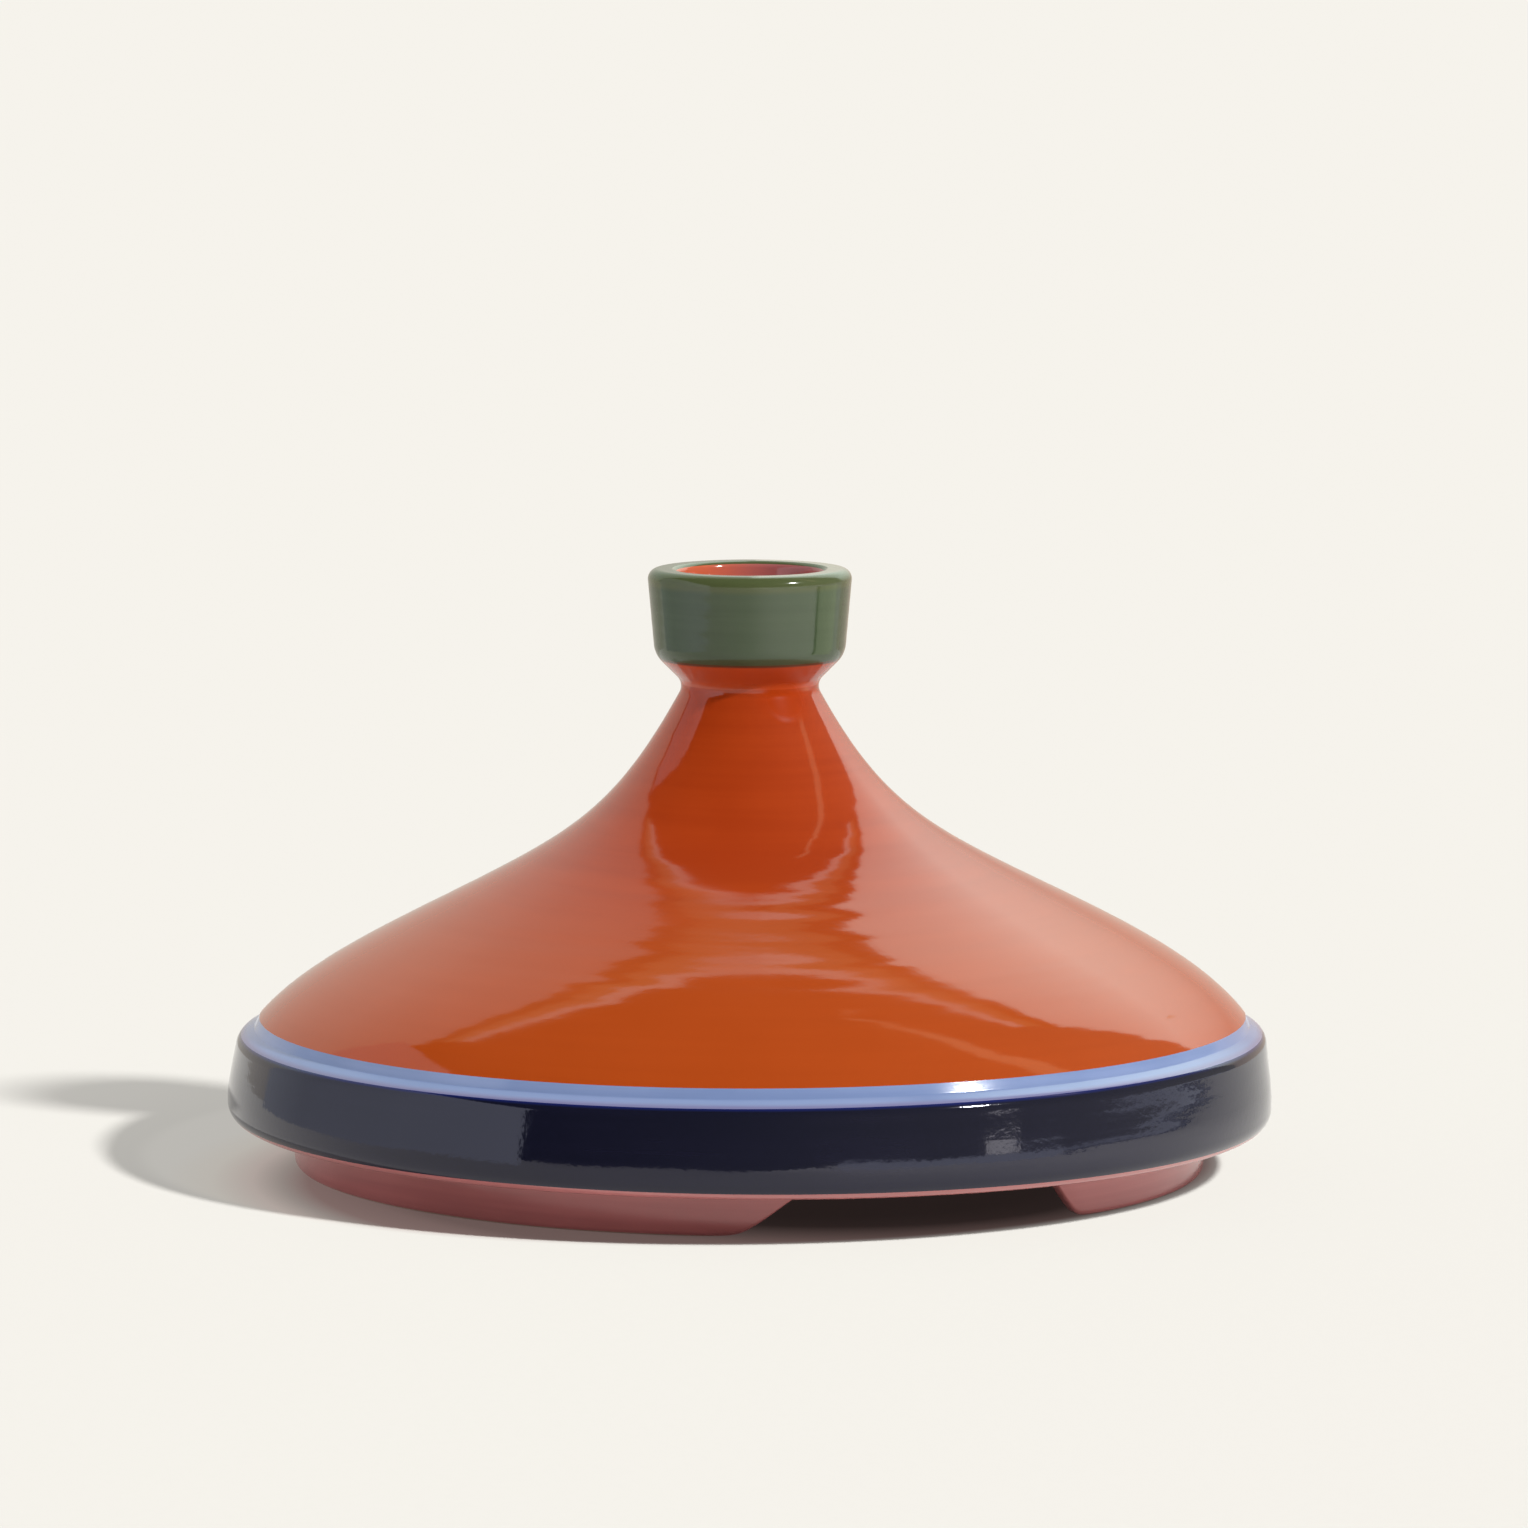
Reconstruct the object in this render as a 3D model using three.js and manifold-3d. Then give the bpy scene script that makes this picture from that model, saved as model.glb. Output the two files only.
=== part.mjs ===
// The conical lid of a tagine in glazed stoneware: a hollow ogee cone with a cup for a knob, a banded rim
// and a notched skirt that drops inside the pan it covers. Its members are thrown or cast one by one and
// luted together with slip before firing. Millimetres, +Z up, origin at the centre of the skirt's foot.
import * as THREE from "three";
import { mergeVertices } from "three/addons/utils/BufferGeometryUtils.js";
import Module from "manifold-3d";

// Facets around the rim and the knob, along the cone's curve and in each rounded corner
const rimFacets = 64;
const knobFacets = 48;
const curveSteps = 8;
const cornerSteps = 4;

// Slip between two luted members
const slipLine = 0.3;

// Skirt: what drops inside the pan, drawn in by the draft from its seat to its foot
const skirtRadius = 125.3;
const skirtDrop = 12.6;
const skirtDraft = 1.3;
const skirtWall = 7;
const footRound = 1.6;

// Notches: one at the front and one at the back, cut straight through the skirt
const notchWidth = 95;
const notchSlope = Math.PI / 4;
const notchEase = 2.4;

// Seat: the flat ring that lies on the pan's edge, with a lip that shows below the band
const seatWidth = 18.3;
const seatThickness = 6.5;
const seatLip = 2;
const seatEdgeRound = 6;

// Band: the rim's upright wall, leaning in a little towards its shoulder
const bandRise = 23.5;
const bandLean = 3.3;
const bandWall = 7;
const bandGlazeRise = 23.8;

// Shoulder: from the band's rounded edge over a sloping ledge and up a small step to the cone
const shoulderRise = 4.9;
const shoulderInset = 5.7;
const shoulderRound = 4;
const stepRise = 2.7;
const stepInset = 1.35;
const stepRound = 0.8;

// Cone: an ogee from the shoulder, over the turn where its bulge becomes its hollow, to the neck. It
// passes these three places at angles from the vertical, and each reach is how long it keeps to one.
const coneRise = 90.8;
const coneWall = 7;
const coneFootAngle = THREE.MathUtils.degToRad(41.3);
const coneFootReach = 16.1;
const turnInset = 51.9;
const turnRise = 33;
const turnAngle = THREE.MathUtils.degToRad(63.2);
const turnReachBelow = 25.4;
const turnReachAbove = 37.8;
const neckAngle = THREE.MathUtils.degToRad(28.2);
const neckReach = 39.1;
const neckRadius = 17.9;
const neckWall = 7;

// Knob: a cup on a flared collar, with a tenon that plugs the neck
const collarRise = 8;
const collarGlazeRise = 7.3;
const cupFootRadius = 25.9;
const cupFootRound = 7.5;
const cupRise = 23.6;
const cupFlare = 2.1;
const cupWall = 8.1;
const cupRimRound = 2.8;
const cupBoreTaper = 2.4;
const cupFloor = 3.5;
const cupFloorRound = 6;
const tenonDepth = 7;

// Heights and radii that follow from the sizes above
const seatBottom = skirtDrop;
const lipTop = seatBottom + seatLip;
const seatTop = seatBottom + seatThickness;
const bandTop = seatBottom + bandGlazeRise;
const bandFootRadius = skirtRadius + seatWidth;
const shoulderRadius = bandFootRadius - bandLean;
const shoulderBottom = seatBottom + bandRise;
const coneBottom = shoulderBottom + shoulderRise;
const coneFootRadius = shoulderRadius - shoulderInset;
const coneFootBore = coneFootRadius - coneWall / Math.cos(coneFootAngle);
const bandBore = shoulderRadius - bandWall;
const neckTop = coneBottom + coneRise;
const neckBore = neckRadius - neckWall;
const tenonEnd = neckTop - tenonDepth;
const collarTop = neckTop + collarGlazeRise;
const cupFoot = neckTop + collarRise;
const cupTop = cupFoot + cupRise;
const cupRadius = cupFootRadius + cupFlare;
const cupBore = cupRadius - cupWall;
const cupFloorTop = collarTop + slipLine + cupFloor;

const glaze = {
  green: { color: 0x55643a, roughness: 0.12 },
  orange: { color: 0xb5481c, roughness: 0.12 },
  periwinkle: { color: 0x7385c2, roughness: 0.12 },
  navy: { color: 0x1b1d31, roughness: 0.1 },
  pink: { color: 0xb46a62, roughness: 0.3 },
};

// A corner of an outline in the radius and height plane, with the radius of its round
function corner(radius, height, round = 0) {
  return { point: new THREE.Vector2(radius, height), round };
}

// The points of the arc that rounds a corner, taking at most half of either edge beside it
function roundedCorner(before, { point, round }, after) {
  const toBefore = before.clone().sub(point);
  const toAfter = after.clone().sub(point);
  const longest = Math.min(toBefore.length(), toAfter.length()) / 2;
  toBefore.normalize();
  toAfter.normalize();
  const halfAngle = Math.acos(toBefore.dot(toAfter)) / 2;
  const trim = Math.min(round / Math.tan(halfAngle), longest);
  const start = point.clone().addScaledVector(toBefore, trim);
  const end = point.clone().addScaledVector(toAfter, trim);
  const inward = toBefore.add(toAfter).normalize();
  const centre = point.clone().addScaledVector(inward, trim / Math.cos(halfAngle));
  const spoke = start.clone().sub(centre);
  const turn = Math.PI - 2 * halfAngle;
  const side = Math.sign(spoke.cross(end.clone().sub(centre)));
  const steps = Array.from({ length: cornerSteps + 1 }, (_, step) => step / cornerSteps);
  return steps.map((share) => start.clone().rotateAround(centre, side * turn * share));
}

// An open outline through its corners, rounded where a corner has a round
function outline(corners) {
  return corners.flatMap((each, index) => {
    const before = corners[index - 1];
    const after = corners[index + 1];
    return each.round > 0 ? roundedCorner(before.point, each, after.point) : [each.point];
  });
}

// Cuts an outline in two where it first climbs past a height
function split(points, height) {
  const next = points.findIndex((point) => point.y > height);
  const before = points[next - 1];
  const share = (height - before.y) / (points[next].y - before.y);
  const cut = before.clone().lerp(points[next], share);
  return { below: [...points.slice(0, next), cut], above: [cut, ...points.slice(next)] };
}

// The stretch of an outline between two heights
function between(points, low, high) {
  return split(split(points, low).above, high).below;
}

// Turns a profile around the Z axis, its outside listed upwards
function revolve(profile, facets) {
  const kept = profile.filter((point, index) => index === 0 || !point.equals(profile[index - 1]));
  return new THREE.LatheGeometry(kept, facets).rotateX(Math.PI / 2);
}

// Turns a ring's section, which closes on itself, around the Z axis
function revolveRing(section, facets) {
  return revolve([...section, section[0]], facets);
}

function at(radius, height) {
  return new THREE.Vector2(radius, height);
}

// The outside of the rim, from the seat round its lower edge and up over the shoulder to the cone
const rimOutside = outline([
  corner(skirtRadius, seatBottom),
  corner(bandFootRadius, seatBottom, seatEdgeRound),
  corner(shoulderRadius, shoulderBottom, shoulderRound),
  corner(coneFootRadius + stepInset, coneBottom - stepRise, stepRound),
  corner(coneFootRadius, coneBottom),
]);

// The outside of the knob, from the crease at the neck over the cup's rim and down to its floor
const knobOutside = outline([
  corner(neckRadius, neckTop),
  corner(cupFootRadius, cupFoot, cupFootRound),
  corner(cupRadius, cupTop, cupRimRound),
  corner(cupBore, cupTop, cupRimRound),
  corner(cupBore - cupBoreTaper, cupFloorTop, cupFloorRound),
  corner(0, cupFloorTop),
]);

// A place that the ogee passes, climbing inwards at an angle from the vertical
function waypoint(radius, height, angle) {
  const place = at(radius, height);
  const climb = at(-Math.sin(angle), Math.cos(angle));
  return { place, ahead: (reach) => place.clone().addScaledVector(climb, reach) };
}

const foot = waypoint(coneFootRadius, coneBottom, coneFootAngle);
const turn = waypoint(coneFootRadius - turnInset, coneBottom + turnRise, turnAngle);
const neck = waypoint(neckRadius, neckTop, neckAngle);
const bulge = [foot.place, foot.ahead(coneFootReach), turn.ahead(-turnReachBelow), turn.place];
const hollow = [turn.place, turn.ahead(turnReachAbove), neck.ahead(-neckReach), neck.place];
const ogee = [new THREE.CubicBezierCurve(...bulge), new THREE.CubicBezierCurve(...hollow)];

// The cone's inside, one wall in from the ogee along its normals, from the foot to below the tenon
function coneInside() {
  const shares = Array.from({ length: curveSteps + 1 }, (_, step) => step / curveSteps);
  const offset = ogee.flatMap((curve) => shares.map((share) => {
    const along = curve.getTangent(share);
    return curve.getPoint(share).add(at(-along.y, along.x).multiplyScalar(coneWall));
  }));
  return offset.filter((point) => point.y > coneBottom && point.y < tenonEnd && point.x > neckBore);
}

// Radius of the rim's inside where it carries the cone's underside on down
function eavesBore(height) {
  return coneFootBore + (coneBottom - height) * Math.tan(coneFootAngle);
}

function coneShell() {
  const section = [
    at(coneFootBore, coneBottom),
    ...ogee.flatMap((curve) => curve.getPoints(curveSteps)),
    at(neckBore, neckTop),
    at(neckBore, tenonEnd),
    ...coneInside().reverse(),
  ];
  return revolveRing(section, rimFacets);
}

function shoulderRing() {
  const bottom = bandTop + slipLine;
  const top = coneBottom - slipLine;
  const section = [
    ...between(rimOutside, bottom, top),
    at(eavesBore(top), top),
    at(eavesBore(bottom), bottom),
  ];
  return revolveRing(section, rimFacets);
}

function rimBand() {
  const bottom = lipTop + slipLine;
  const eavesEnd = coneBottom - (bandBore - coneFootBore) / Math.tan(coneFootAngle);
  const section = [
    ...between(rimOutside, bottom, bandTop),
    at(eavesBore(bandTop), bandTop),
    at(bandBore, eavesEnd),
    at(bandBore, bottom),
  ];
  return revolveRing(section, rimFacets);
}

function seatRing() {
  const bore = skirtRadius + slipLine;
  const spigot = bandBore - slipLine;
  const section = [
    at(bore, seatBottom),
    ...between(rimOutside, seatBottom, lipTop),
    at(spigot, lipTop),
    at(spigot, seatTop),
    at(bore, seatTop),
  ];
  return revolveRing(section, rimFacets);
}

// The notch as it is seen from the front, with the clay's corners eased where it meets the foot
function notchOpening() {
  const half = notchWidth / 2;
  const topHalf = half - skirtDrop * Math.tan(notchSlope);
  const easeIn = notchEase * Math.sin(notchSlope);
  const easeUp = notchEase * Math.cos(notchSlope);
  const below = -footRound;
  const opening = new THREE.Shape();
  opening.moveTo(-half - notchEase, below);
  opening.lineTo(half + notchEase, below);
  opening.lineTo(half + notchEase, 0);
  opening.quadraticCurveTo(half, 0, half - easeIn, easeUp);
  opening.lineTo(topHalf, skirtDrop);
  opening.lineTo(-topHalf, skirtDrop);
  opening.lineTo(-half + easeIn, easeUp);
  opening.quadraticCurveTo(-half, 0, -half - notchEase, 0);
  opening.lineTo(-half - notchEase, below);
  return opening;
}

const wasm = await Module();
wasm.setup();

function toSolid(geometry) {
  const bare = geometry.clone();
  bare.deleteAttribute("normal");
  bare.deleteAttribute("uv");
  const merged = mergeVertices(bare);
  return new wasm.Manifold(new wasm.Mesh({
    numProp: 3,
    vertProperties: new Float32Array(merged.attributes.position.array),
    triVerts: new Uint32Array(merged.index.array),
  }));
}

function toGeometry(solid) {
  const { vertProperties, triVerts } = solid.getMesh();
  const geometry = new THREE.BufferGeometry();
  geometry.setAttribute("position", new THREE.BufferAttribute(vertProperties, 3));
  geometry.setIndex(new THREE.BufferAttribute(triVerts, 1));
  return geometry;
}

// The skirt runs up through the seat's bore, so it stays one ring above its two notches
function skirt() {
  const footRadius = skirtRadius - skirtDraft;
  const bore = skirtRadius - skirtWall;
  const footMiddle = (footRadius + bore) / 2;
  const section = outline([
    corner(footMiddle, 0),
    corner(footRadius, 0, footRound),
    corner(skirtRadius, seatBottom),
    corner(skirtRadius, seatTop),
    corner(bore, seatTop),
    corner(bore, 0, footRound),
    corner(footMiddle, 0),
  ]);
  const length = 2 * bandFootRadius;
  const opening = new THREE.ExtrudeGeometry(notchOpening(), {
    depth: length,
    curveSegments: cornerSteps,
    bevelEnabled: false,
  });
  opening.rotateX(Math.PI / 2).translate(0, length / 2, 0);
  return toGeometry(toSolid(revolve(section, rimFacets)).subtract(toSolid(opening)));
}

function knobCollar() {
  const bottom = neckTop + slipLine;
  const section = [
    at(neckBore, bottom),
    ...between(knobOutside, bottom, collarTop),
    at(neckBore, collarTop),
  ];
  return revolveRing(section, knobFacets);
}

function knobCup() {
  const tenonRadius = neckBore - slipLine;
  const section = [
    at(0, tenonEnd),
    at(tenonRadius, tenonEnd),
    at(tenonRadius, collarTop + slipLine),
    ...split(knobOutside, collarTop + slipLine).above,
  ];
  return revolve(section, knobFacets);
}

const tagineLid = new THREE.Group();

function addMember(name, geometry, finish) {
  const mesh = new THREE.Mesh(geometry, new THREE.MeshStandardMaterial({ ...finish, metalness: 0 }));
  mesh.name = name;
  tagineLid.add(mesh);
}

addMember("knob_cup", knobCup(), glaze.green);
addMember("knob_collar", knobCollar(), glaze.orange);
addMember("cone_shell", coneShell(), glaze.orange);
addMember("shoulder_ring", shoulderRing(), glaze.periwinkle);
addMember("rim_band", rimBand(), glaze.navy);
addMember("seat_ring", seatRing(), glaze.pink);
addMember("skirt", skirt(), glaze.pink);

export default tagineLid;
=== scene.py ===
"""Looks of a tagine's glazed stoneware lid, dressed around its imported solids. Metres, +Z up."""

import math
from collections import namedtuple

import bpy
import numpy as np
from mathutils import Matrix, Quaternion, Vector


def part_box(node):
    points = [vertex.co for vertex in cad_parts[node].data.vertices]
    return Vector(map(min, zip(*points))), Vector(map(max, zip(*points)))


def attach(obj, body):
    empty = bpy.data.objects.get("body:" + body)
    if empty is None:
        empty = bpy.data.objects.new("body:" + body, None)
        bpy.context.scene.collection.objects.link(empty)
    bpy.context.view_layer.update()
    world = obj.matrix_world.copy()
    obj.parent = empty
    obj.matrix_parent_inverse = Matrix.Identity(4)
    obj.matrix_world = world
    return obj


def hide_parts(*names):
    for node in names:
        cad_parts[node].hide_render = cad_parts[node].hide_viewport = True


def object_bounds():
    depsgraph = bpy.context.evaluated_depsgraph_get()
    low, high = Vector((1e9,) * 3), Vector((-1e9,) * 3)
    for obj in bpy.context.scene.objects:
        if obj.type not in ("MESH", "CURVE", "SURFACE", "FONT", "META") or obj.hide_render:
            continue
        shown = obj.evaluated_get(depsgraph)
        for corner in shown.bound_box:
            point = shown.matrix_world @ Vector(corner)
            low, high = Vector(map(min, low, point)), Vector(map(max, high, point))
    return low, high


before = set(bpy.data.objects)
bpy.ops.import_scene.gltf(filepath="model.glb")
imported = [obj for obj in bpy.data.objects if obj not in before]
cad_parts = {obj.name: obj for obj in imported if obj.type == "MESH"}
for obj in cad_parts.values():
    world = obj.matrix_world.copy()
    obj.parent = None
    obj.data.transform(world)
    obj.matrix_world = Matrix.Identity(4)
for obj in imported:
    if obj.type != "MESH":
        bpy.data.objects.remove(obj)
cad_low, cad_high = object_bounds()

MM = 0.001

# The maker's hand: above the band the body leans to the camera's left, and the cone sways to its right
LEAN = 0.0085
LEAN_START = 14 * MM
LEAN_FULL = 36 * MM
SWAY = 2.15 * MM
SWAY_HEIGHT = 69 * MM
SWAY_SPREAD = 26 * MM

# Skirt and its notches, cut straight through; the cut's two ends differ
SKIRT_RADIUS = 125.3 * MM
SKIRT_DRAFT = 1.3 * MM
SKIRT_WALL = 7 * MM
FOOT_ROUND = 1.6 * MM
NOTCH_LEFT = 48.8 * MM
NOTCH_LEFT_SLOPE = 1.24
NOTCH_RIGHT = 46.2 * MM
NOTCH_RIGHT_SLOPE = 0.74
NOTCH_EASE = 2.4 * MM

# Rim: the wall bows in from its widest place to the shoulder, a ledge and a step climb on to the cone
RIM_RADIUS = 142.6 * MM
RIM_WIDEST = 17.3 * MM
RIM_EDGE_ROUND = 4.6 * MM
RIM_WALL = 7 * MM
RIM_BOW_BELOW = 5 * MM
RIM_BOW_ABOVE = 11 * MM
SHOULDER_RADIUS = 140.3 * MM
SHOULDER_HEIGHT = 36.1 * MM
SHOULDER_LEAN = math.radians(8.5)
SHOULDER_ROUND = 3.8 * MM
STEP_RISE = 2.7 * MM
STEP_INSET = 1.26 * MM
STEP_ROUND = 0.8 * MM
CONE_FOOT_RADIUS = 134.6 * MM

# Cone: an ogee through three places at angles from the vertical, its turn a little below the solid's
CONE_WALL = 7 * MM
CONE_FOOT_ANGLE = math.radians(41.3)
CONE_FOOT_REACH = 16.1 * MM
TURN_INSET = 49.1 * MM
TURN_RISE = 31.6 * MM
TURN_ANGLE = math.radians(63.2)
TURN_REACH_BELOW = 22.2 * MM
TURN_REACH_ABOVE = 41 * MM
NECK_ANGLE = math.radians(28.2)
NECK_REACH = 39.1 * MM
NECK_RADIUS = 17.9 * MM
NECK_BORE = NECK_RADIUS - CONE_WALL
NECK_CREASE = 3.7 * MM
CREASE_REACH = 8 * MM

# Knob
COLLAR_RISE = 8 * MM
CUP_FOOT_RADIUS = 25.9 * MM
CUP_FOOT_ROUND = 7.5 * MM
CUP_RADIUS = 28 * MM
CUP_WALL = 8.1 * MM
CUP_RIM_ROUND = 2.8 * MM
CUP_LIP_ROUND = 2 * MM
CUP_BORE_TAPER = 2.4 * MM
CUP_FLOOR = 3.8 * MM
CUP_FLOOR_ROUND = 6 * MM
LINING_DROP = 0.7 * MM

# How far navy runs down over the seat's lip
NAVY_RUN = 0.45 * MM

# Heights of the joints between the members, from the solids
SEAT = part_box("seat_ring")[0].z
SEAT_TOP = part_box("seat_ring")[1].z
LIP_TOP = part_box("rim_band")[0].z - NAVY_RUN
BAND_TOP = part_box("rim_band")[1].z
CONE_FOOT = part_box("cone_shell")[0].z
NECK_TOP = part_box("cone_shell")[1].z
COLLAR_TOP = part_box("knob_collar")[1].z
TENON_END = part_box("knob_cup")[0].z
CUP_FOOT = NECK_TOP + COLLAR_RISE
CUP_FLOOR_TOP = COLLAR_TOP + CUP_FLOOR
CUP_TOP = cad_high.z - LEAN * CUP_RADIUS

# Fineness of the turned meshes and their relief
SEGMENTS = 384
SKIRT_SEGMENTS = 1152
STEP = 0.9 * MM
CURVE_POINTS = 85
BEND_POINTS = 14
INSIDE_THINNING = 3
SHARP_ANGLE = math.radians(35)
WAVES = 28
RELIEF_FADE = 3 * MM
ON_AXIS = 1e-9
LEAST_RISE = 1e-12

# Camera
CAMERA_AZIMUTH = math.radians(-22.5)
CAMERA_DISTANCE = 2.4
CAMERA_HEIGHT = 0.3921
CAMERA_LENS = 209.0
SENSOR_WIDTH = 36
CLIP_END = 100
AIM_HEIGHT = 109.6 * MM
AIM_SIDE = 3.2 * MM
CAMERA_ROLL = 0.0082

TO_CAMERA = Vector((math.sin(CAMERA_AZIMUTH), -math.cos(CAMERA_AZIMUTH), 0))
TO_RIGHT = Vector((math.cos(CAMERA_AZIMUTH), math.sin(CAMERA_AZIMUTH), 0))
UP = Vector((0, 0, 1))


def place(aside, towards, height):
    return aside * TO_RIGHT + towards * TO_CAMERA + height * UP


# Paths in the radius and height plane

def at(radius, height):
    return np.array([radius, height])


def climb(angle):
    """Direction that climbs inwards at an angle from the vertical."""
    return np.array([-math.sin(angle), math.cos(angle)])


def unit(vector):
    return vector / np.linalg.norm(vector)


def joint(start, end):
    """A face where two members meet, out of sight."""
    return np.array([start, end])


def straight(start, end):
    return np.linspace(start, end, 2 + int(np.linalg.norm(end - start) / STEP))


def bezier(start, leave, arrive, end, count=CURVE_POINTS):
    t = np.linspace(0, 1, count)[:, None]
    s = 1 - t
    return s**3 * start + 3 * s * s * t * leave + 3 * s * t * t * arrive + t**3 * end


def lengths(path):
    return np.concatenate([[0], np.cumsum(np.linalg.norm(np.diff(path, axis=0), axis=1))])


def stretch(path, start, end):
    """The stretch of a path between two lengths along it."""
    along = lengths(path)
    ends = [[np.interp(x, along, path[:, 0]), np.interp(x, along, path[:, 1])] for x in (start, end)]
    inner = path[(along > start) & (along < end)]
    return np.vstack([ends[:1], inner, ends[1:]])


def bend(before, after, radius):
    """Two paths that meet in a corner, joined by a round of that radius."""
    turn_in = unit(before[-1] - before[-2])
    turn_out = unit(after[1] - after[0])
    turn = math.acos(min(1, turn_in @ turn_out))
    trim = radius * math.tan(turn / 2)
    before = stretch(before, 0, lengths(before)[-1] - trim)
    after = stretch(after, trim, lengths(after)[-1])
    handle = 4 / 3 * math.tan(turn / 4) * radius
    leave = before[-1] + handle * unit(before[-1] - before[-2])
    arrive = after[0] - handle * unit(after[1] - after[0])
    round_part = bezier(before[-1], leave, arrive, after[0], BEND_POINTS)
    return np.vstack([before[:-1], round_part, after[1:]])


def contour(*pieces):
    """A path from straight or curved stretches, with the radius of each round between them."""
    path = pieces[0]
    for radius, following in zip(pieces[1::2], pieces[2::2]):
        path = bend(path, following, radius)
    return path


def between(path, low, high):
    """The stretch of a path between the places where it first climbs past two heights."""
    along = lengths(path)
    rising = np.maximum.accumulate(path[:, 1]) + np.arange(len(path)) * LEAST_RISE
    return stretch(path, np.interp(low, rising, along), np.interp(high, rising, along))


def inwards(path):
    """The normals of a climbing path, on its inner side."""
    along = np.gradient(path, axis=0)
    along /= np.linalg.norm(along, axis=1)[:, None]
    return np.column_stack([-along[:, 1], along[:, 0]])


def ogee():
    foot = at(CONE_FOOT_RADIUS, CONE_FOOT)
    turn = at(CONE_FOOT_RADIUS - TURN_INSET, CONE_FOOT + TURN_RISE)
    neck = at(NECK_RADIUS, NECK_TOP)
    turn_climb = climb(TURN_ANGLE)
    leave = foot + CONE_FOOT_REACH * climb(CONE_FOOT_ANGLE)
    arrive = neck - NECK_REACH * climb(NECK_ANGLE)
    bulge = bezier(foot, leave, turn - TURN_REACH_BELOW * turn_climb, turn)
    hollow = bezier(turn, turn + TURN_REACH_ABOVE * turn_climb, arrive, neck)
    return np.vstack([bulge[:-1], hollow])


def rim_outside():
    """From the skirt along the seat, round its edge, up the wall and over the shoulder to the cone."""
    edge = at(RIM_RADIUS, SEAT)
    widest = at(RIM_RADIUS, RIM_WIDEST)
    shoulder = at(SHOULDER_RADIUS, SHOULDER_HEIGHT)
    leave = widest + RIM_BOW_BELOW * climb(0)
    arrive = shoulder - RIM_BOW_ABOVE * climb(SHOULDER_LEAN)
    wall = np.vstack([straight(edge, widest)[:-1], bezier(widest, leave, arrive, shoulder)])
    step = at(CONE_FOOT_RADIUS + STEP_INSET, CONE_FOOT - STEP_RISE)
    return contour(
        straight(at(SKIRT_RADIUS, SEAT), edge), RIM_EDGE_ROUND,
        wall, SHOULDER_ROUND,
        straight(shoulder, step), STEP_ROUND,
        straight(step, at(CONE_FOOT_RADIUS, CONE_FOOT)),
    )


def knob_outside():
    """From the cone below the neck's crease over the cup's rim and down to its floor."""
    cone_end = lengths(ogee())[-1]
    foot = at(CUP_FOOT_RADIUS, CUP_FOOT)
    rim = at(CUP_RADIUS, CUP_TOP)
    lip = at(CUP_RADIUS - CUP_WALL, CUP_TOP)
    floor = at(CUP_RADIUS - CUP_WALL - CUP_BORE_TAPER, CUP_FLOOR_TOP)
    return contour(
        stretch(ogee(), cone_end - CREASE_REACH, cone_end), NECK_CREASE,
        straight(at(NECK_RADIUS, NECK_TOP), foot), CUP_FOOT_ROUND,
        straight(foot, rim), CUP_RIM_ROUND,
        straight(rim, lip), CUP_LIP_ROUND,
        straight(lip, floor), CUP_FLOOR_ROUND,
        straight(floor, at(0, CUP_FLOOR_TOP)),
    )


# Relief and shape of the turned bodies

def smooth(share):
    share = np.clip(share, 0, 1)
    return share * share * (3 - 2 * share)


def ripples(seed, shortest, longest, most_turns, slope, count=WAVES):
    """Relief that throwing leaves: waves along the wall that wind round it, with that slope in all."""
    draw = np.random.default_rng(seed)
    wave = draw.uniform(shortest, longest, (count, 1, 1))
    turns = draw.integers(-most_turns, most_turns + 1, (count, 1, 1))
    phase = draw.uniform(0, 2 * math.pi, (count, 1, 1))
    depth = slope * wave / (2 * math.pi) * math.sqrt(2 / count)

    def relief(along, angles):
        waves = depth * np.cos(turns * angles + 2 * math.pi * along[:, None] / wave + phase)
        return waves.sum(axis=0)

    return relief


Run = namedtuple("Run", "path material relief", defaults=(None,))


def turned(run, angles):
    """A run's points turned to each angle, one row for each point of its path."""
    radius, height = run.path[:, :1], run.path[:, 1:]
    if run.relief:
        along = lengths(run.path)
        fade = smooth(np.minimum(along, along[-1] - along) / RELIEF_FADE)
        depth = run.relief(along, angles) * fade[:, None]
        normal = inwards(run.path)
        radius = radius + normal[:, :1] * depth
        height = height + normal[:, 1:] * depth
    points = np.broadcast_arrays(radius * np.cos(angles), radius * np.sin(angles), height)
    return np.stack(points, axis=2)


def settle(points):
    """Points of the true body moved to where the maker's hand left them."""
    aside = points @ np.array(TO_RIGHT)
    height = points[:, 2]
    full = smooth((height - LEAN_START) / (LEAN_FULL - LEAN_START))
    sway = SWAY * full * np.exp(-((height - SWAY_HEIGHT) / SWAY_SPREAD) ** 2)
    shift = sway - LEAN * full * (height - LEAN_FULL)
    lift = LEAN * full * aside
    return points + shift[:, None] * np.array(TO_RIGHT) + lift[:, None] * np.array(UP)


def lathe(name, runs, segments=SEGMENTS, cut=None):
    """A closed body turned from runs that follow each other round its section."""
    closed = runs[0].path[0, 0] > 0
    angles = np.arange(segments) * 2 * math.pi / segments
    rows = [turned(run, angles)[:-1] for run in runs]
    if not closed:
        rows.append(turned(runs[-1], angles)[-1:])
    materials = list(dict.fromkeys(run.material for run in runs))
    slots = np.concatenate([[materials.index(run.material)] * (len(run.path) - 1) for run in runs])
    return make_mesh(name, np.concatenate(rows), closed, materials, slots, cut)


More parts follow.
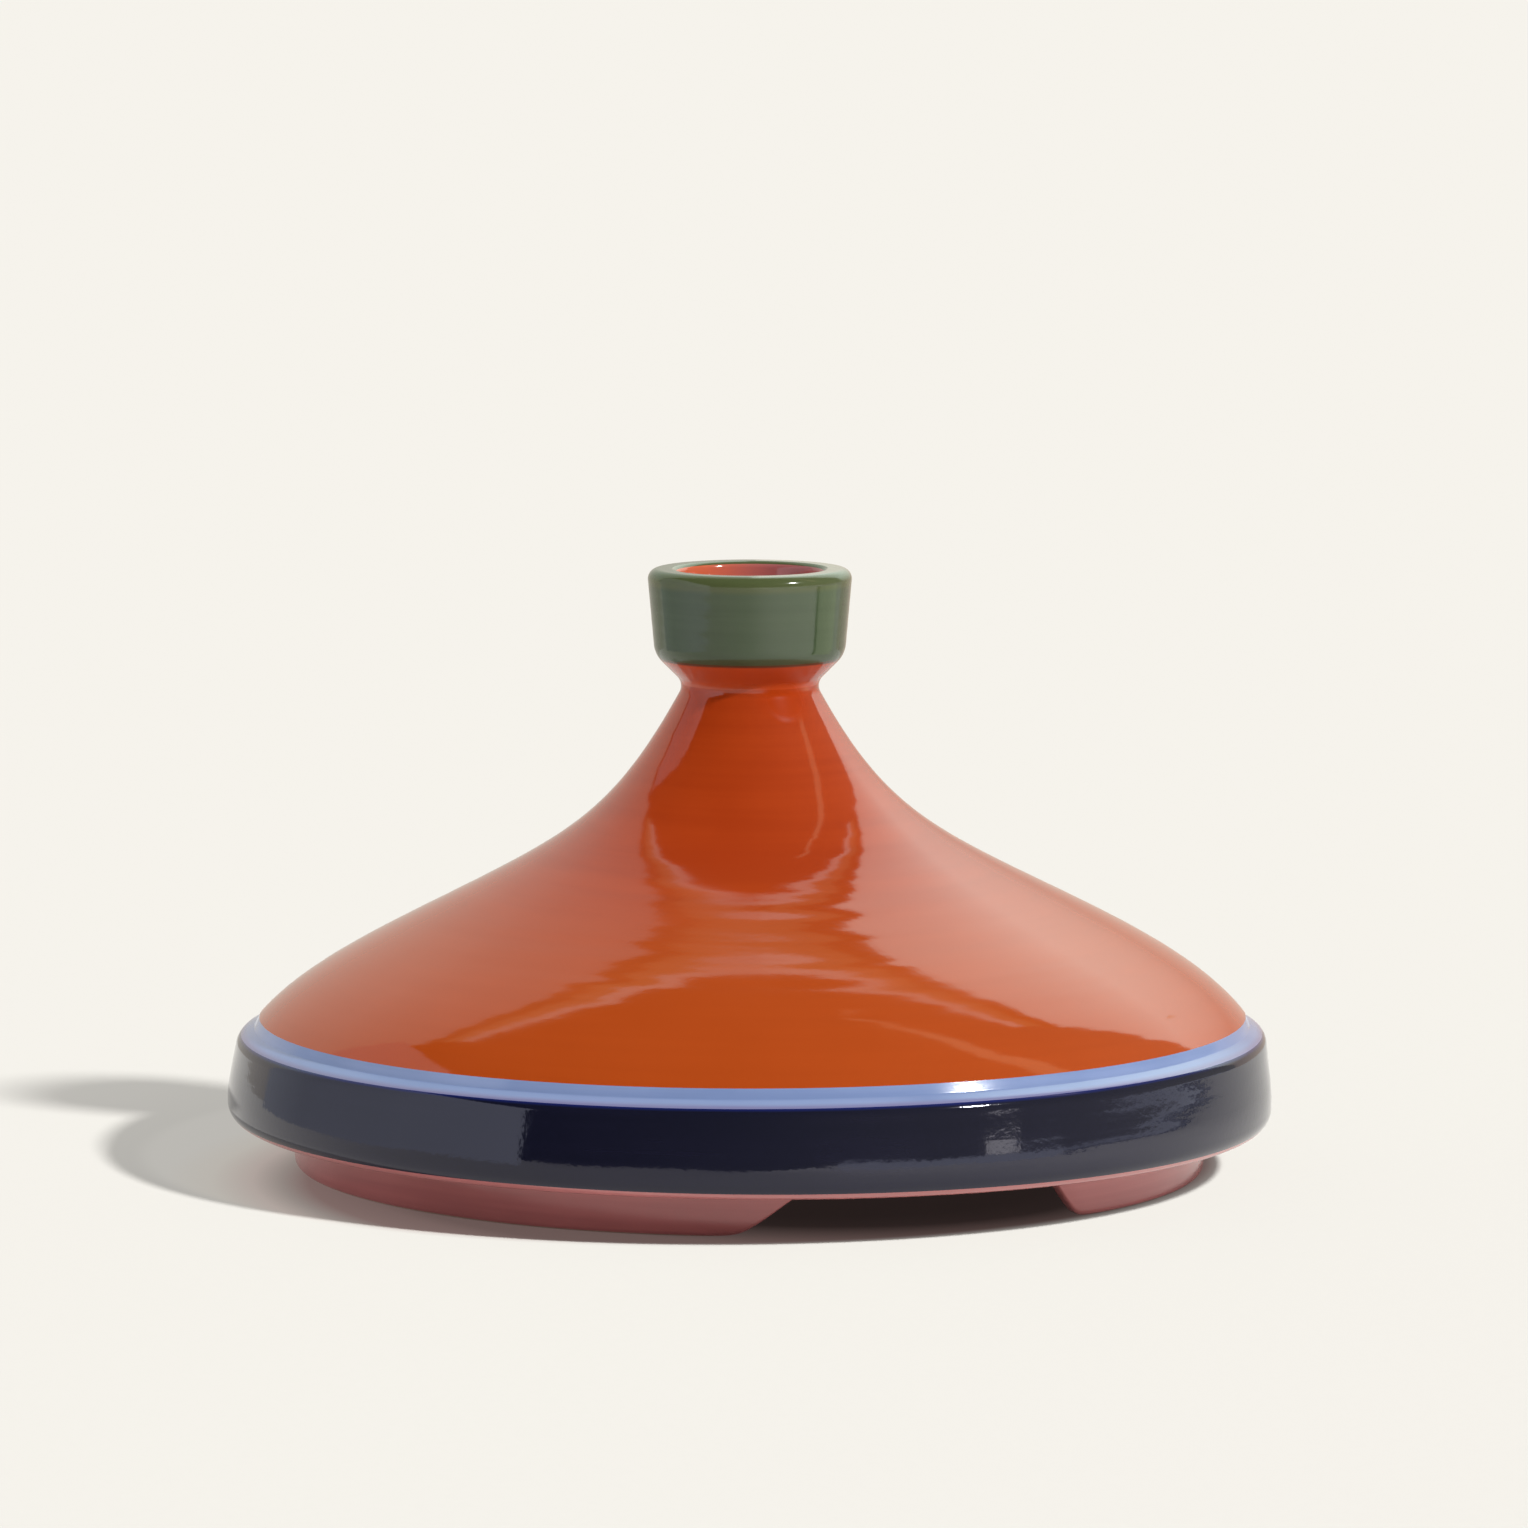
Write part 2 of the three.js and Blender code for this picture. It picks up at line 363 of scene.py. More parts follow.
def weave(grid, closed):
    """A grid's points and faces, round each row and on to the next; a row on the axis is one point."""
    rows, columns = grid.shape[:2]
    poles = np.linalg.norm(grid[:, :, :2], axis=2).max(axis=1) < ON_AXIS
    starts = np.concatenate([[0], np.cumsum(np.where(poles, 1, columns))])
    index = starts[:-1, None] + np.where(poles[:, None], 0, np.arange(columns)[None, :])
    points = np.vstack([grid[i, :1] if poles[i] else grid[i] for i in range(rows)])
    lower = np.arange(rows if closed else rows - 1)
    upper = (lower + 1) % rows
    right = np.roll(np.arange(columns), -1)
    corners = [index[lower], index[lower][:, right], index[upper][:, right], index[upper]]
    quads = np.stack(corners, axis=2).reshape(-1, 4).tolist()
    return points, [tuple(dict.fromkeys(quad)) for quad in quads]


def make_mesh(name, grid, closed, materials, slots, cut):
    """A mesh over a grid of points, each stretch between two rows with the material of its slot."""
    points, faces = weave(grid, closed)
    if cut:
        points = cut(points)
    mesh = bpy.data.meshes.new(name)
    mesh.from_pydata(settle(points).tolist(), [], faces)
    for material in materials:
        mesh.materials.append(material)
    slots = np.repeat(slots, grid.shape[1]).astype(np.int32)
    mesh.polygons.foreach_set("material_index", slots)
    mesh.polygons.foreach_set("use_smooth", np.ones(len(faces), bool))
    mesh.set_sharp_from_angle(angle=SHARP_ANGLE)
    rise = mesh.attributes.new("rise", "FLOAT", "POINT")
    rise.data.foreach_set("value", points[:, 2].astype(np.float32))
    piece = bpy.data.objects.new(name, mesh)
    bpy.context.scene.collection.objects.link(piece)
    return piece


# Nodes

def feed(tree, socket, value):
    """Sets a socket, or links it where the value is another socket."""
    if isinstance(value, bpy.types.NodeSocket):
        tree.links.new(value, socket)
    elif socket.type == "RGBA":
        socket.default_value = (*value, 1)
    else:
        socket.default_value = value


def node(tree, kind, inputs=None, output=0, **settings):
    made = tree.nodes.new("ShaderNode" + kind)
    for key, value in settings.items():
        setattr(made, key, value)
    for key, value in (inputs or {}).items():
        feed(tree, made.inputs[key], value)
    return made.outputs[output]


def noise(tree, scale, detail=2, stretched=(1, 1, 1)):
    where = node(tree, "TexCoord", output="Object")
    where = node(tree, "Mapping", {"Vector": where, "Scale": stretched})
    return node(tree, "TexNoise", {"Vector": where, "Scale": scale, "Detail": detail})


def map_range(tree, value, low, high, to_low=0.0, to_high=1.0):
    limits = {"Value": value, "From Min": low, "From Max": high, "To Min": to_low, "To Max": to_high}
    return node(tree, "MapRange", limits, interpolation_type="SMOOTHSTEP")


def mix(tree, share, first, second):
    return node(tree, "Mix", {0: share, 6: first, 7: second}, output=2, data_type="RGBA")


def product(tree, first, second):
    return node(tree, "Math", {0: first, 1: second}, operation="MULTIPLY")


def tinted(tint, level):
    return tuple(level * np.array(tint))


def ramp(tree, value, bands):
    """Colours that change as a value grows, from bands of a stop, a tint and its level."""
    first, last = bands[0][0], bands[-1][0]
    made = tree.nodes.new("ShaderNodeValToRGB")
    elements = made.color_ramp.elements
    while len(elements) < len(bands):
        elements.new(1)
    for element, (stop, tint, level) in zip(elements, bands):
        element.position = (stop - first) / (last - first)
        element.color = (*tinted(tint, level), 1)
    share = {0: value, 1: 1 / (last - first), 2: -first / (last - first)}
    feed(tree, made.inputs[0], node(tree, "Math", share, operation="MULTIPLY_ADD"))
    return made.outputs[0]


def far_along(tree, direction):
    """How far a place lies along a direction."""
    where = node(tree, "TexCoord", output="Object")
    return node(tree, "VectorMath", {0: where, 1: direction}, output="Value", operation="DOT_PRODUCT")


def far_from(tree, centre):
    """How far a place lies from a centre."""
    where = node(tree, "TexCoord", output="Object")
    return node(tree, "VectorMath", {0: where, 1: centre}, output="Value", operation="DISTANCE")


def new_material(name):
    material = bpy.data.materials.new(name)
    material.use_nodes = True
    tree = material.node_tree
    return material, tree, tree.nodes["Principled BSDF"]


# Glazes. Their colours are linear.

CLOUD_SCALE = 30
STREAK_SCALE = 1
STREAK_DETAIL = 4
STREAK_STRETCH = (9, 9, 380)
THICK_BELOW = 0.12
THIN_ABOVE = 0.40
CLOUD_LOW = 0.3
CLOUD_HIGH = 0.7
GLOSSIEST = 0.8
DULLEST = 1.25
PEEL_SCALE = 620
COMB_SCALE = 1
COMB_DETAIL = 1
COMB_STRETCH = (14, 14, 420)
COMB = 0.025 * MM
LINE_WANDER_SCALE = 22
LINE_WANDER = 0.5 * MM

# A dull spot in the glaze at the neck
DULL_ROUGHNESS = 0.3
DULL_SHINE = (0, 0, 0)
DULL_ASIDE = 8 * MM
DULL_TOWARDS = 15.5 * MM
DULL_DROP = 3.5 * MM
DULL_RADIUS = 9 * MM
DULL_CORE = 0.55 * DULL_RADIUS

# Where a glaze thins, breaks or runs over another, and the lining's painted bounce light: the colour
# there, and where it begins and ends
YELLOW = (0.50, 0.086, 0.009)
YELLOW_SHARE = 0.55
YELLOW_FULL = CONE_FOOT + 0.6 * TURN_RISE
YELLOW_END = CONE_FOOT + 1.6 * TURN_RISE
# Painted bounce light: the cup's lining is made more orange towards the left
BOUNCE_CORAL = (0.68, 0.135, 0.055)
BOUNCE_CORAL_FULL = -0.6 * CUP_RADIUS
BOUNCE_CORAL_END = 0.3 * CUP_RADIUS
BROWN = (0.105, 0.042, 0.016)
BROWN_LINE = COLLAR_TOP - 0.7 * MM
BROWN_SOFT = 0.3 * MM
OLIVE = (0.085, 0.107, 0.040)
OLIVE_LINE = CUP_TOP - 4.2 * MM
OLIVE_SOFT = 0.9 * MM
ROYAL = (0.010, 0.018, 0.13)
ROYAL_LINE = BAND_TOP - 0.4 * MM
ROYAL_SOFT = 0.5 * MM
MAUVE = (0.23, 0.23, 0.41)
MAUVE_LINE = BAND_TOP + 0.7 * MM
MAUVE_SOFT = 0.5 * MM
WIPED = (0.42, 0.36, 0.28)
WIPED_LINE = 0.45 * MM
WIPED_SOFT = 0.2 * MM

# Bare clay
CLAY_DARK = (0.52, 0.44, 0.33)
CLAY_LIGHT = (0.66, 0.58, 0.46)
CLAY_SMOOTHEST = 0.75
CLAY_ROUGHEST = 0.95
GRAIN_SCALE = 900
GRAIN_DETAIL = 4
GRAIN_DEPTH = 0.05 * MM


def height(tree):
    """Height of a place on the body before the maker's hand moved it."""
    return node(tree, "Attribute", output="Fac", attribute_name="rise")


def above(tree, line, soft):
    """How far a place is above a brushed line, which wanders a little round the body."""
    wander = noise(tree, LINE_WANDER_SCALE)
    rise = node(tree, "Math", {0: wander, 1: LINE_WANDER, 2: height(tree)}, operation="MULTIPLY_ADD")
    middle = line + LINE_WANDER / 2
    return map_range(tree, rise, middle - soft, middle + soft)


def throwing_lines(tree, peel):
    """Fine lines round the wall, with the glaze's orange peel over them."""
    lines = noise(tree, COMB_SCALE, COMB_DETAIL, COMB_STRETCH)
    combed = node(tree, "Bump", {"Height": lines, "Distance": COMB, "Strength": 1.0})
    peeled = {"Height": noise(tree, PEEL_SCALE), "Distance": peel, "Strength": 1.0, "Normal": combed}
    return node(tree, "Bump", peeled)


def glaze(name, thick, thin, roughness, peel, paint=None, dulled=None, shine=(1, 1, 1)):
    """A glaze brushed on round the axis, thinner in streaks and clouds, over throwing lines."""
    material, tree, shader = new_material(name)
    clouds = noise(tree, CLOUD_SCALE)
    streaks = noise(tree, STREAK_SCALE, STREAK_DETAIL, STREAK_STRETCH)
    thinness = map_range(tree, product(tree, clouds, streaks), THICK_BELOW, THIN_ABOVE)
    colour = mix(tree, thinness, thick, thin)
    if paint:
        colour = paint(tree, colour)
    gloss = map_range(tree, clouds, CLOUD_LOW, CLOUD_HIGH, GLOSSIEST * roughness, DULLEST * roughness)
    if dulled:
        share = dulled(tree)
        duller = product(tree, share, DULL_ROUGHNESS)
        gloss = node(tree, "Math", {0: duller, 1: gloss}, operation="MAXIMUM")
        shine = mix(tree, share, shine, DULL_SHINE)
    feed(tree, shader.inputs["Base Color"], colour)
    feed(tree, shader.inputs["Roughness"], gloss)
    feed(tree, shader.inputs["Specular Tint"], shine)
    feed(tree, shader.inputs["Normal"], throwing_lines(tree, peel))
    return material


def dull_spot(tree):
    """How near a place is to the dull spot in the glaze at the neck."""
    centre = place(DULL_ASIDE, DULL_TOWARDS, NECK_TOP - DULL_DROP)
    return map_range(tree, far_from(tree, centre), DULL_RADIUS, DULL_CORE)


def yellow_bulge(tree, colour):
    """The cone below its turn, where the glaze is thinner and yellower."""
    share = map_range(tree, height(tree), YELLOW_FULL, YELLOW_END, YELLOW_SHARE, 0)
    return mix(tree, share, colour, YELLOW)


def painted_bounce_side(tree, colour):
    """Painted bounce light: the cup's lining made more orange towards the left, in place of light
    bounced round inside the cup.
    """
    share = map_range(tree, far_along(tree, TO_RIGHT), BOUNCE_CORAL_FULL, BOUNCE_CORAL_END)
    return mix(tree, share, BOUNCE_CORAL, colour)


def brown_edge(tree, colour):
    """Where green runs over orange below the cup."""
    return mix(tree, above(tree, BROWN_LINE, BROWN_SOFT), colour, BROWN)


def olive_rim(tree, colour):
    """The cup's rim, where green breaks to olive."""
    return mix(tree, above(tree, OLIVE_LINE, OLIVE_SOFT), colour, OLIVE)


def royal_edge(tree, colour):
    """Where periwinkle runs over navy at the top of the band."""
    return mix(tree, above(tree, ROYAL_LINE, ROYAL_SOFT), colour, ROYAL)


def mauve_edge(tree, colour):
    """Where periwinkle thins to mauve over the shoulder."""
    return mix(tree, above(tree, MAUVE_LINE, MAUVE_SOFT), MAUVE, colour)


def wiped_foot(tree, colour):
    """The skirt's foot, wiped clean of glaze."""
    return mix(tree, above(tree, WIPED_LINE, WIPED_SOFT), WIPED, colour)


def bare_clay():
    material, tree, shader = new_material("bare_clay")
    grain = noise(tree, GRAIN_SCALE, GRAIN_DETAIL)
    feed(tree, shader.inputs["Base Color"], mix(tree, grain, CLAY_DARK, CLAY_LIGHT))
    feed(tree, shader.inputs["Roughness"], map_range(tree, grain, 0, 1, CLAY_SMOOTHEST, CLAY_ROUGHEST))
    feed(tree, shader.inputs["Normal"], node(tree, "Bump", {"Height": grain, "Distance": GRAIN_DEPTH}))
    return material


PINK = {"thick": (0.46, 0.155, 0.155), "thin": (0.53, 0.180, 0.180), "peel": 0.010 * MM}

orange = glaze(
    "orange_glaze", thick=(0.41, 0.042, 0.0048), thin=(0.45, 0.049, 0.0058),
    roughness=0.07, peel=0.006 * MM, paint=yellow_bulge, dulled=dull_spot,
)
collar_orange = glaze(
    "collar_glaze", thick=(0.50, 0.060, 0.011), thin=(0.54, 0.068, 0.013),
    roughness=0.07, peel=0.006 * MM, paint=brown_edge, dulled=dull_spot,
)
green = glaze(
    "green_glaze", thick=(0.052, 0.082, 0.038), thin=(0.060, 0.092, 0.044),
    roughness=0.10, peel=0.010 * MM, paint=olive_rim,
)
periwinkle = glaze(
    "periwinkle_glaze", thick=(0.216, 0.297, 0.54), thin=(0.259, 0.34, 0.594),
    roughness=0.12, peel=0.010 * MM, paint=mauve_edge,
)
navy = glaze(
    "navy_glaze", thick=(0.0066, 0.0072, 0.0200), thin=(0.0082, 0.0084, 0.0230),
    roughness=0.07, peel=0.020 * MM, paint=royal_edge, shine=(0.90, 0.89, 1),
)
# The lining carries painted bounce light, more orange towards the left
lining = glaze("lining_glaze", **PINK, roughness=0.14, paint=painted_bounce_side)
pink = glaze("pink_glaze", **PINK, roughness=0.16)
skirt_pink = glaze("skirt_glaze", **PINK, roughness=0.16, paint=wiped_foot)
clay = bare_clay()


# Members

body = bpy.data.collections.new("body")


def fit(piece, solid):
    body.objects.link(piece)
    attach(piece, "root")
    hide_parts(solid)


def eaves_bore(height):
    """Radius of the rim's inside where it carries the cone's underside on down."""
    foot_bore = CONE_FOOT_RADIUS - CONE_WALL / math.cos(CONE_FOOT_ANGLE)
    return foot_bore + (CONE_FOOT - height) * math.tan(CONE_FOOT_ANGLE)


def cone_shell():
    curve = ogee()
    crease = between(knob_outside(), 0, NECK_TOP)
    outside = np.vstack([stretch(curve, 0, lengths(curve)[-1] - CREASE_REACH)[:-1], crease])
    inside = (curve + CONE_WALL * inwards(curve))[::INSIDE_THINNING]
    keep = (inside[:, 1] > CONE_FOOT) & (inside[:, 1] < TENON_END) & (inside[:, 0] > NECK_BORE)
    eaves = at(eaves_bore(CONE_FOOT), CONE_FOOT)
    inside = np.vstack([at(NECK_BORE, TENON_END), inside[keep][::-1], eaves])
    top = at(NECK_BORE, NECK_TOP)
    waves = ripples(seed=11, shortest=4 * MM, longest=14 * MM, most_turns=6, slope=0.005)
    piece = lathe("cone", [
        Run(outside, orange, waves),
        Run(joint(outside[-1], top), clay),
        Run(joint(top, inside[0]), clay),
        Run(inside, pink),
        Run(joint(inside[-1], outside[0]), clay),
    ])
    fit(piece, "cone_shell")


def shoulder_ring():
    outside = between(rim_outside(), BAND_TOP, CONE_FOOT)
    inner_top = at(eaves_bore(CONE_FOOT), CONE_FOOT)
    inner_low = at(eaves_bore(BAND_TOP), BAND_TOP)
    piece = lathe("shoulder", [
        Run(outside, periwinkle),
        Run(joint(outside[-1], inner_top), clay),
        Run(straight(inner_top, inner_low), pink),
        Run(joint(inner_low, outside[0]), clay),
    ])
    fit(piece, "shoulder_ring")


def rim_band():
    outside = between(rim_outside(), LIP_TOP, BAND_TOP)
    bore = SHOULDER_RADIUS - RIM_WALL
    eaves_end = CONE_FOOT - (bore - eaves_bore(CONE_FOOT)) / math.tan(CONE_FOOT_ANGLE)
    inner_top = at(eaves_bore(BAND_TOP), BAND_TOP)
    inner_turn = at(bore, eaves_end)
    inner_low = at(bore, LIP_TOP)
    waves = ripples(seed=5, shortest=5 * MM, longest=16 * MM, most_turns=24, slope=0.006)
    piece = lathe("band", [
        Run(outside, navy, waves),
        Run(joint(outside[-1], inner_top), clay),
        Run(straight(inner_top, inner_turn), pink),
        Run(straight(inner_turn, inner_low), pink),
        Run(joint(inner_low, outside[0]), clay),
    ])
    fit(piece, "rim_band")


def seat_ring():
    outside = between(rim_outside(), SEAT, LIP_TOP)
    spigot = SHOULDER_RADIUS - RIM_WALL
    corners = [at(spigot, LIP_TOP), at(spigot, SEAT_TOP), at(SKIRT_RADIUS, SEAT_TOP)]
    piece = lathe("seat", [
        Run(outside, pink),
        Run(joint(outside[-1], corners[0]), clay),
        Run(joint(corners[0], corners[1]), clay),
        Run(straight(corners[1], corners[2]), pink),
        Run(joint(corners[2], outside[0]), clay),
    ])
    fit(piece, "seat_ring")


def notched(points):
    """The skirt's points with its foot squeezed up where the notches are cut."""
    left = (points[:, 0] + NOTCH_LEFT) / NOTCH_LEFT_SLOPE
    right = (NOTCH_RIGHT - points[:, 0]) / NOTCH_RIGHT_SLOPE
    reach = np.minimum(left, right)
    eased = 0.5 * (reach + np.sqrt(reach**2 + NOTCH_EASE**2))
    foot = np.minimum(eased, SEAT)
    squeezed = foot + points[:, 2] * (SEAT_TOP - foot) / SEAT_TOP
    return np.column_stack([points[:, :2], squeezed])


def skirt():
    foot_radius = SKIRT_RADIUS - SKIRT_DRAFT
    bore = SKIRT_RADIUS - SKIRT_WALL
    middle = at((foot_radius + bore) / 2, 0)
    below_seat = straight(at(foot_radius, 0), at(SKIRT_RADIUS, SEAT))
    through_seat = straight(at(SKIRT_RADIUS, SEAT), at(SKIRT_RADIUS, SEAT_TOP))
    outside = np.vstack([below_seat[:-1], through_seat])
    inside = straight(at(bore, SEAT_TOP), at(bore, 0))
    piece = lathe("skirt_ring", [
        Run(contour(straight(middle, at(foot_radius, 0)), FOOT_ROUND, outside), skirt_pink),
        Run(joint(outside[-1], inside[0]), clay),
        Run(contour(inside, FOOT_ROUND, straight(at(bore, 0), middle)), skirt_pink),
    ], SKIRT_SEGMENTS, notched)
    fit(piece, "skirt")


def knob_collar():
    outside = between(knob_outside(), NECK_TOP, COLLAR_TOP)
    low = at(NECK_BORE, NECK_TOP)
    high = at(NECK_BORE, COLLAR_TOP)
    piece = lathe("collar", [
        Run(outside, collar_orange),
        Run(joint(outside[-1], high), clay),
        Run(joint(high, low), clay),
        Run(joint(low, outside[0]), clay),
    ])
    fit(piece, "knob_collar")


def knob_cup():
    path = knob_outside()
    start = lengths(between(path, 0, COLLAR_TOP))[-1]
    path = stretch(path, start, lengths(path)[-1])
    inner_side = (path[:, 0] < CUP_RADIUS - CUP_WALL / 2) & (path[:, 1] > CUP_FLOOR_TOP)
    brim = int(np.argmax(inner_side & (path[:, 1] < CUP_TOP - LINING_DROP)))
    tenon = [at(0, TENON_END), at(NECK_BORE, TENON_END), at(NECK_BORE, COLLAR_TOP)]
    waves = ripples(seed=7, shortest=2.5 * MM, longest=5 * MM, most_turns=2, slope=0.010)
    piece = lathe("cup", [
        Run(joint(tenon[0], tenon[1]), clay),
        Run(joint(tenon[1], tenon[2]), clay),
        Run(joint(tenon[2], path[0]), clay),
        Run(path[:brim + 1], green, waves),
        Run(path[brim:], lining),
    ])
    fit(piece, "knob_cup")


# Studio

CREAM = (0.922, 0.896, 0.838)
SUN_AZIMUTH = CAMERA_AZIMUTH + math.radians(57)
SUN_ELEVATION = math.radians(37.5)
SUN_STRENGTH = 2.36
SUN_ANGLE = math.radians(4.5)
LAMP_AZIMUTH = CAMERA_AZIMUTH + math.radians(58)
LAMP_ELEVATION = math.radians(41)
LAMP_DISTANCE = 2.0
LAMP_RADIUS = 0.08
LAMP_FALL = 3
SKY = (0.629, 0.629, 0.629)
SKY_BACK = 0.6
SKY_LEFT = 0.3
SKY_POWER = 2
ROOM = (0.158, 0.153, 0.125)
ROOM_RIGHT = 0.8
ROOM_UP = -0.35
ROOM_POWER = 1.8

# Floor: its paper, its own glow beside the lamp's share, and a sheen that shows only in the glaze
FLOOR_HALF = 40
FLOOR_TONE = 0.05
PAPER_SCALE = 300
PAPER_DARK = 0.98
PAPER_LIGHT = 1.02
LAMP_SHARE = 0.58
FLOOD = 0.384
SHEEN = 0.8
SHEEN_LEFT = -0.1
SHEEN_RIGHT = 0.35
SHEEN_BACK = -0.2
SHEEN_FRONT = 0.2

# Shade below the lid, its edge blurred to the right in the glaze
SHADE_ASIDE = -19.5 * MM
SHADE_TOWARDS = -12.5 * MM
SHADE_RADIUS = 147.4 * MM
SHADE_SOFT = 4 * MM
SHADE_BLUR = 24 * MM
SHADE_BLUR_REACH = 80 * MM
SHADE_TINT = (1, 0.68, 0.63)
DUSK_TINT = (1, 0.86, 0.79)
HAZE_TINT = (1, 0.945, 0.86)

# Glow left in the shade, by the distance from its darkest place
GLOOM_ASIDE = 20 * MM
GLOOM_TOWARDS = 30 * MM
GLOOM = [
    (60 * MM, SHADE_TINT, 0.018), (75 * MM, SHADE_TINT, 0.022), (92 * MM, SHADE_TINT, 0.085),
    (103 * MM, SHADE_TINT, 0.13), (121 * MM, SHADE_TINT, 0.135), (128 * MM, SHADE_TINT, 0.17),
    (139 * MM, SHADE_TINT, 0.195), (146 * MM, DUSK_TINT, 0.27), (154 * MM, DUSK_TINT, 0.41),
    (165 * MM, HAZE_TINT, 0.465), (178 * MM, CREAM, 0.51),
]

# Tones of the boards, which show only in the glaze
PANEL = (0.85, 0.97, 0.88)
FRAME = (1.1, 0.9, 0.45)
WARM = (1, 0.8, 0.5)
BEIGE = (1, 0.93, 0.82)
SALMON = (1, 0.83, 0.70)
PALE = (0.94, 1, 0.73)
COOL = (0.94, 0.98, 1.08)
NEUTRAL = (1, 0.97, 0.93)

# Boards behind: two panels, each below a dark line, a frame and a strip
BACK = -0.45
BACK_LEFT = -0.72
BACK_RIGHT = 0.62
BACK_FOOT_TOP = 0.15
PANEL_FULL = 0.4
PANEL_TOP = 0.90
LINE_LOW = 0.91
LINE_HIGH = 0.985
LINE_GLOW = 0.2
FRAME_LOW = 0.995
FRAME_HIGH = 1.075
FRAME_GLOW = 0.6
STRIP_LOW = 1.085
BACK_TOP = 1.155

# Board to the left, brighter towards the camera
LEFT = -0.45
LEFT_BACK = -0.25
LEFT_BEND = -0.02
LEFT_FRONT = 0.45
LEFT_TOP = 0.50
LEFT_FRONT_TOP = 0.26
LEFT_GLOWS = [(LEFT_BACK, COOL, 0.55), (-0.08, COOL, 0.6), (0.16, COOL, 1.1), (LEFT_FRONT, COOL, 1.35)]

# Pole to the right, and a boom from it to above the back
RIGHT = 0.45
POLE_FOOT = 0.01
POLE_TOP = -0.06
POLE_LOW = 0.42
POLE_HIGH = 0.75
POLE_WIDTH = 0.06
POLE_GLOW = 1.3
BOOM_END = 0.23
BOOM_HIGH = 1.60

# Ledges along the floor to the right and in front, and a crate
LEDGE = 1.0
LEDGE_FRONT = 0.42
LEDGE_BACK = -0.6
LEDGE_END = -0.95
LEDGE_DIM_TOP = 0.010
LEDGE_LIT = 0.016
LEDGE_TOP = 0.036
LEDGE_DIM = 0.3
LEDGE_GLOW = 1.2
FRONT_LEDGE_END = (0.3, 0.95)
FRONT_LEDGE_TOP = 0.05
FRONT_LEDGE_GLOW = 1.6
CRATE_START = (0.73, 0.64)
CRATE_END = (0.80, 0.54)
CRATE_LOW = 0.055
CRATE_HIGH = 0.088
CRATE_GLOW = 3.5

# Post and side panel, far enough from the cup to show in it and too near the cone
POST = 0.2
POST_LOW = 0.06
POST_HIGH = 0.135
POST_FRONT = 0.041
POST_BACK = 0.029
POST_GLOW = 0.02
POST_NEAREST = 0.18
SIDE_PANEL_BACK = -0.08
SIDE_PANEL_GLOW = 1.28


def camera():
    data = bpy.data.cameras.new("camera")
    data.lens = CAMERA_LENS
    data.sensor_width = SENSOR_WIDTH
    data.clip_end = CLIP_END
    thing = bpy.data.objects.new("camera", data)
    bpy.context.scene.collection.objects.link(thing)
    thing.location = place(0, CAMERA_DISTANCE, CAMERA_HEIGHT)
    aim = place(AIM_SIDE, 0, AIM_HEIGHT)
    thing.rotation_mode = "QUATERNION"
    level = (aim - thing.location).to_track_quat("-Z", "Y")
    thing.rotation_quaternion = level @ Quaternion((0, 0, 1), CAMERA_ROLL)
    bpy.context.scene.camera = thing


def heading(azimuth, elevation):
    """Direction towards a light."""
    flat = math.cos(elevation)
    return Vector((math.sin(azimuth) * flat, -math.cos(azimuth) * flat, math.sin(elevation)))


def add_light(data, receivers):
    thing = bpy.data.objects.new(data.name, data)
    bpy.context.scene.collection.objects.link(thing)
    thing.light_linking.receiver_collection = receivers
    return thing


def key_light(receivers):
    data = bpy.data.lights.new("key_light", "SUN")
    data.energy = SUN_STRENGTH
    data.angle = SUN_ANGLE
    thing = add_light(data, receivers)
    thing.rotation_mode = "QUATERNION"
    thing.rotation_quaternion = (-heading(SUN_AZIMUTH, SUN_ELEVATION)).to_track_quat("-Z", "Y")


def floor_lamp(receivers):
    """A lamp that lights the floor alone, with that share of its tone at the lid's axis."""
    data = bpy.data.lights.new("floor_lamp", "POINT")
    falls = math.sin(LAMP_ELEVATION) / (4 * math.pi * LAMP_DISTANCE**2)
    data.energy = LAMP_SHARE * math.pi / (FLOOR_TONE * falls)
    data.shadow_soft_size = LAMP_RADIUS
    thing = add_light(data, receivers)
    thing.location = LAMP_DISTANCE * heading(LAMP_AZIMUTH, LAMP_ELEVATION)


def glow(tree, tone, towards, power):
    """Light all round, brighter towards one side of the room."""
    sides = {0: node(tree, "TexCoord", output="Generated"), 1: towards}
    share = node(tree, "VectorMath", sides, output="Value", operation="DOT_PRODUCT")
    share = node(tree, "Math", {0: share, 1: 1.0}, operation="ADD")
    share = node(tree, "Math", {0: share, 1: power}, operation="POWER")
    return node(tree, "Background", {"Strength": share, "Color": tone})


def surroundings():
    """A room with a bright back for matt surfaces, dark in the glaze, and plain cream to the camera."""
    world = bpy.data.worlds.new("studio")
    bpy.context.scene.world = world
    world.use_nodes = True
    tree = world.node_tree
    tree.nodes.clear()
    rays = tree.nodes.new("ShaderNodeLightPath")
    sky = glow(tree, SKY, -SKY_BACK * TO_CAMERA - SKY_LEFT * TO_RIGHT, SKY_POWER)
    room = glow(tree, ROOM, ROOM_RIGHT * TO_RIGHT + ROOM_UP * UP, ROOM_POWER)
    cream = node(tree, "Background", {"Color": CREAM})
    shown = node(tree, "MixShader", {0: rays.outputs["Is Glossy Ray"], 1: sky, 2: room})
    shown = node(tree, "MixShader", {0: rays.outputs["Is Camera Ray"], 1: shown, 2: cream})
    output = tree.nodes.new("ShaderNodeOutputWorld")
    feed(tree, output.inputs["Surface"], shown)


